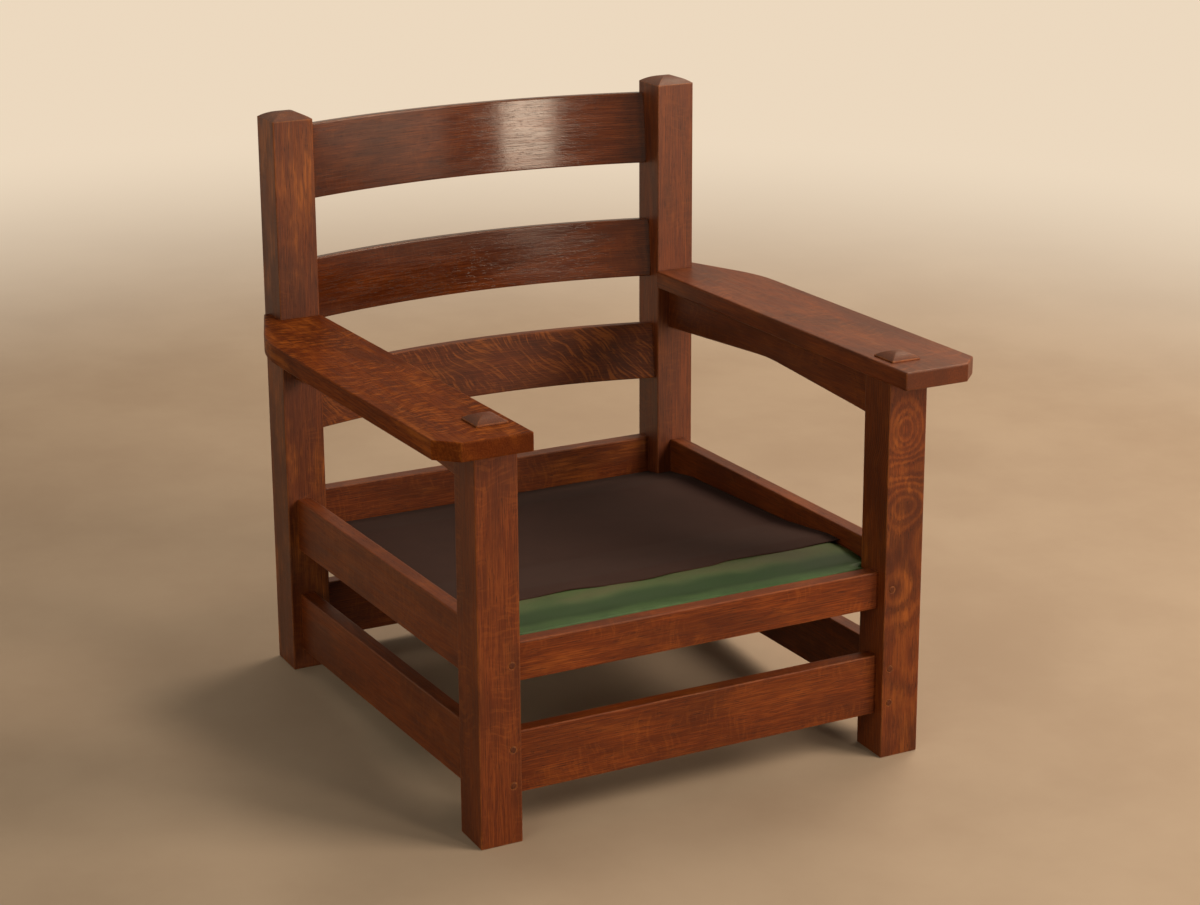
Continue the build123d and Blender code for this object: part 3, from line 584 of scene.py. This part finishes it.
def add_object(name, data):
    piece = bpy.data.objects.new(name, data)
    bpy.context.scene.collection.objects.link(piece)
    return piece


def shade_smooth(mesh):
    for polygon in mesh.polygons:
        polygon.use_smooth = True


def top_of(name):
    """A function that gives the height of a CAD layer's top at a depth, the same right across."""
    mesh = nodes[name].data
    points = [to_chair(v.co) for v in mesh.vertices]
    tree = BVHTree.FromPolygons(points, [tuple(p.vertices) for p in mesh.polygons])
    depths = [p.y for p in points]
    low, high = min(depths) + EDGE_MARGIN, max(depths) - EDGE_MARGIN

    def height(y):
        hit = tree.ray_cast(Vector((0, min(max(y, low), high), 1)), Vector((0, 0, -1)))
        return hit[0].z
    return height


def across_lines(fine):
    """X of the grid's lines, with one on each side of the posts' faces."""
    side = np.linspace(POST_HALF, DECK_HALF, SIDE_LINES)
    return [*(-side[::-1]), *np.linspace(-POST_HALF, POST_HALF, fine)[1:-1], *side]


def in_a_post(corners):
    """Whether a face's middle lies where one of the four posts stands."""
    x, y = (sum(corner[i] for corner in corners) / len(corners) for i in (0, 1))
    return abs(x) > POST_HALF and not FRONT_POST_Y < y < BACK_POST_Y


def grid_sheet(name, rows, thickness):
    """A sheet from rows of chair-frame points, with the posts' places left out."""
    count = len(rows[0])
    points = [p for row in rows for p in row]
    faces = []
    for r in range(len(rows) - 1):
        for c in range(count - 1):
            a = r * count + c
            face = (a, a + 1, a + count + 1, a + count)
            if not in_a_post([points[i] for i in face]):
                faces.append(face)
    mesh = bpy.data.meshes.new(name)
    mesh.from_pydata([tuple(to_row(p)) for p in points], [], faces)
    tidy = bmesh.new()
    tidy.from_mesh(mesh)
    loose = [v for v in tidy.verts if not v.link_faces]
    bmesh.ops.delete(tidy, geom=loose, context="VERTS")
    tidy.to_mesh(mesh)
    tidy.free()
    shade_smooth(mesh)
    piece = add_object(name, mesh)
    solidify = piece.modifiers.new("thickness", "SOLIDIFY")
    solidify.thickness = thickness
    solidify.offset = -1.0
    return piece


def cloth_edge_at(x):
    """The cloth's front edge as a smooth line through its places."""
    for (x0, y0), (x1, y1) in zip(CLOTH_EDGE, CLOTH_EDGE[1:]):
        if x <= x1:
            return y0 + (y1 - y0) * smooth_step(x, x0, x1)
    return CLOTH_EDGE[-1][1]


def make_deck_cloth():
    """The dark cloth: a taut sheet with a wavy turned edge in front."""
    height_at = top_of("deck_cloth")
    xs = across_lines(FINE_LINES)
    rows = []
    for share in np.linspace(0, 1, CLOTH_ROWS):
        row = []
        for x in xs:
            edge = cloth_edge_at(x)
            y = edge + (BACK_POST_Y - edge) * share
            ripple = RIPPLE * math.sin(x * RIPPLE_TURN + RIPPLE_START)
            ripple *= smooth_step(y, edge + RIPPLE_REACH, edge)
            row.append((x, y, height_at(y) + ripple))
        rows.append(row)
    for y in np.linspace(BACK_POST_Y, DECK_BACK, CLOTH_TAIL_ROWS)[1:]:
        rows.append([(x, y, height_at(y)) for x in xs])
    return grid_sheet("deck_cloth_sheet", rows, CLOTH_THICKNESS)


def end_drop(x, y):
    """How far the front edge's leather and pads go down towards the deck's sides."""
    half = POST_HALF if y <= FRONT_POST_Y else DECK_HALF
    return END_DROP * smooth_step(abs(x), half - END_DROP_WIDTH, half)


def make_leather():
    """The leather along the front: over the roll, down into the hollow and up under the cloth."""
    top_at = top_of("leather_band")
    steps = [i / BRIDGE_SAMPLES for i in range(-BRIDGE_SAMPLES, BRIDGE_SAMPLES + 1)]
    weights = [math.exp(-BRIDGE_FALL * s * s) for s in steps]

    def height_at(y):
        """The band's top, its creases rounded as the leather bridges them."""
        reach = min(BRIDGE_REACH, (y - DECK_FRONT) * BRIDGE_SHARE)
        return sum(w * top_at(y + s * reach) for w, s in zip(weights, steps)) / sum(weights)
    head = np.linspace(DECK_FRONT, FRONT_POST_Y, LEATHER_HEAD_ROWS)
    body = np.linspace(FRONT_POST_Y, LEATHER_BACK, LEATHER_BODY_ROWS)[1:]
    rows = []
    for y in [*head, *body]:
        z = height_at(y)
        rows.append([(x, y, z - end_drop(x, y)) for x in across_lines(FINE_LINES)])
    return grid_sheet("leather_band_sheet", rows, LEATHER_THICKNESS)


def make_burlap():
    """The burlap over the springs, flat from the deck's front to its back."""
    height_at = top_of("seat_insulator")
    ys = [*np.linspace(DECK_FRONT, FRONT_POST_Y, BURLAP_END_ROWS),
          *np.linspace(FRONT_POST_Y, BACK_POST_Y, COARSE_LINES)[1:],
          *np.linspace(BACK_POST_Y, DECK_BACK - BURLAP_BACK_GAP, BURLAP_END_ROWS)[1:]]
    rows = [[(x, y, height_at(y)) for x in across_lines(COARSE_LINES)] for y in ys]
    return grid_sheet("seat_insulator_sheet", rows, BURLAP_THICKNESS)


def soft_copy(node, name, voxel):
    """A remeshed, softened stand-in for a hidden pad."""
    mesh = nodes[node].data.copy()
    mesh.name = name
    mesh.materials.clear()
    piece = add_object(name, mesh)
    remesh = piece.modifiers.new("remesh", "REMESH")
    remesh.mode = "VOXEL"
    remesh.voxel_size = voxel
    relax = piece.modifiers.new("relax", "SMOOTH")
    relax.factor = PAD_SMOOTHING
    relax.iterations = PAD_ROUNDS
    bpy.context.view_layer.update()
    shown = piece.evaluated_get(bpy.context.evaluated_depsgraph_get())
    done = bpy.data.meshes.new_from_object(shown)
    piece.modifiers.clear()
    piece.data = done
    done.name = name
    shade_smooth(done)
    return piece


def lower_ends(piece):
    """Rounds a front edge pad's ends down, from its foot to its top."""
    points = [to_chair(v.co) for v in piece.data.vertices]
    foot = min(p.z for p in points)
    tall = max(p.z for p in points) - foot
    for vertex, p in zip(piece.data.vertices, points):
        p.z -= PAD_DROP_SHARE * end_drop(p.x, p.y) * (p.z - foot) / tall
        vertex.co = to_row(p)


cloth = make_deck_cloth()
band = make_leather()
burlap = make_burlap()
pads = {
    "seat_felt_pad": soft_copy("seat_felt_pad", "seat_felt_layer", 0.004),
    "front_edge_roll": soft_copy("front_edge_roll", "front_edge_roll_cover", 0.003),
    "front_edge_pad": soft_copy("front_edge_pad", "front_edge_felt", 0.003),
}
for node in ("front_edge_roll", "front_edge_pad"):
    lower_ends(pads[node])

deck_weave = fabric("deck_cloth_weave", srgb(42, 27, 25), srgb(60, 40, 36), 900, 0.85, 0.3, 0.03)
green_leather = leather()
burlap_weave = fabric("burlap_weave", srgb(120, 92, 58), srgb(176, 142, 98), 520, 0.9, 0.6, 0.05)
cotton_felt = felt("cotton_felt", srgb(206, 198, 182), srgb(176, 166, 148))
jute_roll = fabric("jute_roll", srgb(128, 98, 62), srgb(170, 136, 92), 600, 0.9, 0.5, 0.05)

# For each CAD node: the piece that replaces it, its slot and its material
soft_pieces = {
    "deck_cloth": (cloth, "deck_cloth", deck_weave),
    "leather_band": (band, "green_leather", green_leather),
    "seat_insulator": (burlap, "burlap", burlap_weave),
    "seat_felt_pad": (pads["seat_felt_pad"], "felt", cotton_felt),
    "front_edge_roll": (pads["front_edge_roll"], "felt", jute_roll),
    "front_edge_pad": (pads["front_edge_pad"], "felt", cotton_felt),
}
for node, (piece, slot, material) in soft_pieces.items():
    piece.data.materials.append(material)
    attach(piece, "root")
    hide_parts(node)


# Floor, backdrop and light

BACKDROP = (0.84, 0.69, 0.52, 1.0)
BACKDROP_REFLECTION = 0.55
FLOOR_HALF = 14.0
FLOOR_PALE, FLOOR_DEEP = srgb(172, 157, 140), srgb(162, 146, 129)
# How far from the chair's middle the floor starts to go over into the backdrop, and ends
FADE_START, FADE_END = 1.5, 3.6
AMBIENT, AMBIENT_STRENGTH = (1.0, 0.88, 0.76, 1), 0.055
WARM, COOLER = (1.0, 0.79, 0.585), (1.0, 0.9, 0.68)
# Name, place, target, width, height, watts, colour
LAMPS = (
    ("front", (1.12, -3.6, 1.3), (0, 0, 0.6), 0.55, 1.1, 36, WARM),
    ("key", (2.3, -2.2, 2.6), (0, 0, 0.4), 1.6, 1.6, 96, WARM),
    ("side", (2.5, -2.7, 1.6), (0, 0, 0.45), 1.6, 1.9, 20, WARM),
    ("top", (2.4, 1.2, 2.9), (0, 0, 0.3), 1.6, 1.6, 54, WARM),
    ("left", (-3.2, -1.6, 1.8), (0, 0, 0.4), 2.4, 2.4, 39, COOLER),
    ("backdrop", (0.7, 1.5, 3.4), (1.4, 2.8, 0.2), 7.0, 0.8, 70, WARM),
)


def backdrop_mix(g, lit, kind, share=1.0):
    """The pale backdrop for the camera and, weaker, for reflections; the lit shader for all
    other light."""
    rays = g.add("ShaderNodeLightPath").outputs
    bounced = g.math("MAXIMUM", rays["Is Glossy Ray"], rays["Is Transmission Ray"])
    seen = g.math("MAXIMUM", rays["Is Camera Ray"], g.times(bounced, BACKDROP_REFLECTION))
    pale = g.add(kind, {"Color": BACKDROP, "Strength": 1.0}).outputs[0]
    mixed = {0: g.times(seen, share), 1: lit, 2: pale}
    return g.add("ShaderNodeMixShader", mixed).outputs[0]


def add_floor():
    """A flat pale floor that goes over into the backdrop away from the chair, on every side."""
    low, high = -FLOOR_HALF, FLOOR_HALF
    mesh = bpy.data.meshes.new("floor")
    corners = [(low, low, 0), (high, low, 0), (high, high, 0), (low, high, 0)]
    mesh.from_pydata(corners, [], [(0, 1, 2, 3)])
    floor = add_object("floor", mesh)
    material, g = new_material("pale_floor")
    place = g.object_point()
    mottle = g.noise(place, scale=2.2, detail=5, roughness=0.6)
    colour = g.mix(g.ramp(mottle, 0.3, 0.7), FLOOR_PALE, FLOOR_DEEP)
    shader = g.add("ShaderNodeBsdfPrincipled", {"Base Color": colour, "Roughness": 0.75})
    away = g.add("ShaderNodeVectorMath", {0: place}, operation="LENGTH").outputs["Value"]
    faded = g.ramp(away, FADE_START, FADE_END)
    surface = backdrop_mix(g, shader.outputs[0], "ShaderNodeEmission", faded)
    g.add("ShaderNodeOutputMaterial", {"Surface": surface})
    mesh.materials.append(material)


def add_lamp(name, place, target, width, height, power, colour):
    data = bpy.data.lights.new(name, "AREA")
    data.shape = "RECTANGLE"
    data.size, data.size_y = width, height
    data.energy = power
    data.color = colour
    lamp = add_object(name, data)
    lamp.location = place
    lamp.rotation_euler = (Vector(target) - Vector(place)).to_track_quat("-Z", "Y").to_euler()


def add_world():
    world = bpy.data.worlds.new("world")
    bpy.context.scene.world = world
    world.use_nodes = True
    world.node_tree.nodes.clear()
    g = Graph(world.node_tree)
    ambient = g.add("ShaderNodeBackground", {"Color": AMBIENT, "Strength": AMBIENT_STRENGTH})
    surface = backdrop_mix(g, ambient.outputs[0], "ShaderNodeBackground")
    g.add("ShaderNodeOutputWorld", {"Surface": surface})


add_floor()
for lamp in LAMPS:
    add_lamp(*lamp)
add_world()
bpy.context.scene.view_settings.view_transform = "Standard"
